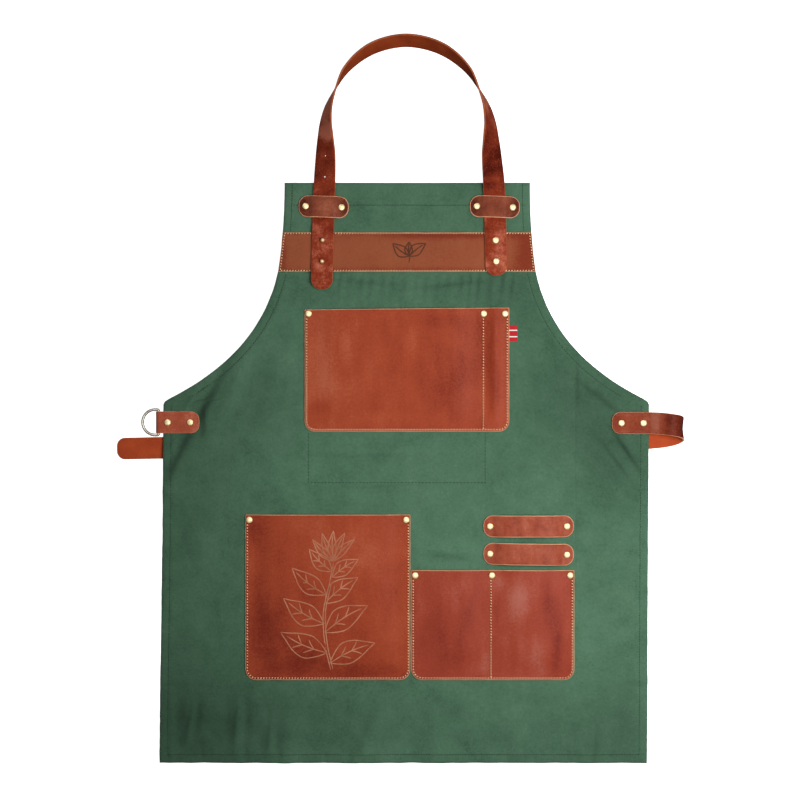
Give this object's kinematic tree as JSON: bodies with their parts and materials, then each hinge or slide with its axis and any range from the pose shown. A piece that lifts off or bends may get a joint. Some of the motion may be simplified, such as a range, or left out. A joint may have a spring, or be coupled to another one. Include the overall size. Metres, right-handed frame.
{
  "type": "gardening apron",
  "caption": "Canvas gardening apron laid flat, with leather neck and waist straps, chest band, riveted pockets and tool loops.",
  "frame": {"origin": "on the surface that the apron lies on, under the waist strap, where the apron's centre line crosses it", "axes": "+X to the right of the apron seen from the front, +Y from the waist to the neck, +Z away from the surface, out of the front"},
  "size_m": [0.7823, 0.9983, 0.0301],
  "materials": {
    "canvas": "matt cotton canvas",
    "panel_leather": "waxed pull-up leather",
    "strap_leather": "glossy oiled leather",
    "rivet_brass": "polished",
    "ring_metal": "polished, warm nickel",
    "tag_ribbon": "woven ribbon"
  },
  "bodies": {
    "apron": {"apron_body": "canvas", "chest_band": "panel_leather", "chest_pocket": "panel_leather", "large_pocket": "panel_leather", "tool_pocket": "panel_leather", "tool_loop_lower": "panel_leather", "tool_loop_upper": "panel_leather", "neck_keeper_left": "panel_leather", "neck_keeper_right": "panel_leather", "neck_strap": "strap_leather", "waist_strap": "strap_leather", "ring_tab": "strap_leather", "side_tag": "tag_ribbon", "rivet_neck_keeper_left_west": "rivet_brass", "rivet_neck_keeper_left_east": "rivet_brass", "rivet_neck_keeper_right_west": "rivet_brass", "rivet_neck_keeper_right_east": "rivet_brass", "rivet_chest_pocket_1": "rivet_brass", "rivet_chest_pocket_2": "rivet_brass", "rivet_chest_pocket_3": "rivet_brass", "rivet_large_pocket_1": "rivet_brass", "rivet_large_pocket_2": "rivet_brass", "rivet_tool_pocket_1": "rivet_brass", "rivet_tool_pocket_2": "rivet_brass", "rivet_tool_pocket_3": "rivet_brass", "rivet_tool_loop_lower_west": "rivet_brass", "rivet_tool_loop_lower_east": "rivet_brass", "rivet_tool_loop_upper_west": "rivet_brass", "rivet_tool_loop_upper_east": "rivet_brass", "stud_1": "rivet_brass", "stud_2": "rivet_brass", "rivet_neck_1": "rivet_brass", "rivet_neck_2": "rivet_brass", "rivet_waist_inner": "rivet_brass", "rivet_waist_outer": "rivet_brass", "rivet_tab_inner": "rivet_brass", "rivet_tab_outer": "rivet_brass"},
    "ring": {"d_ring": "ring_metal"}
  },
  "joints": [
    {"name": "ring_swing", "type": "hinge", "parent": "apron", "child": "ring", "pos_m": [-0.3405, 0.02858, 0.0042], "axis": [0, 1, 0], "range_deg": [-125, 135]}
  ]
}
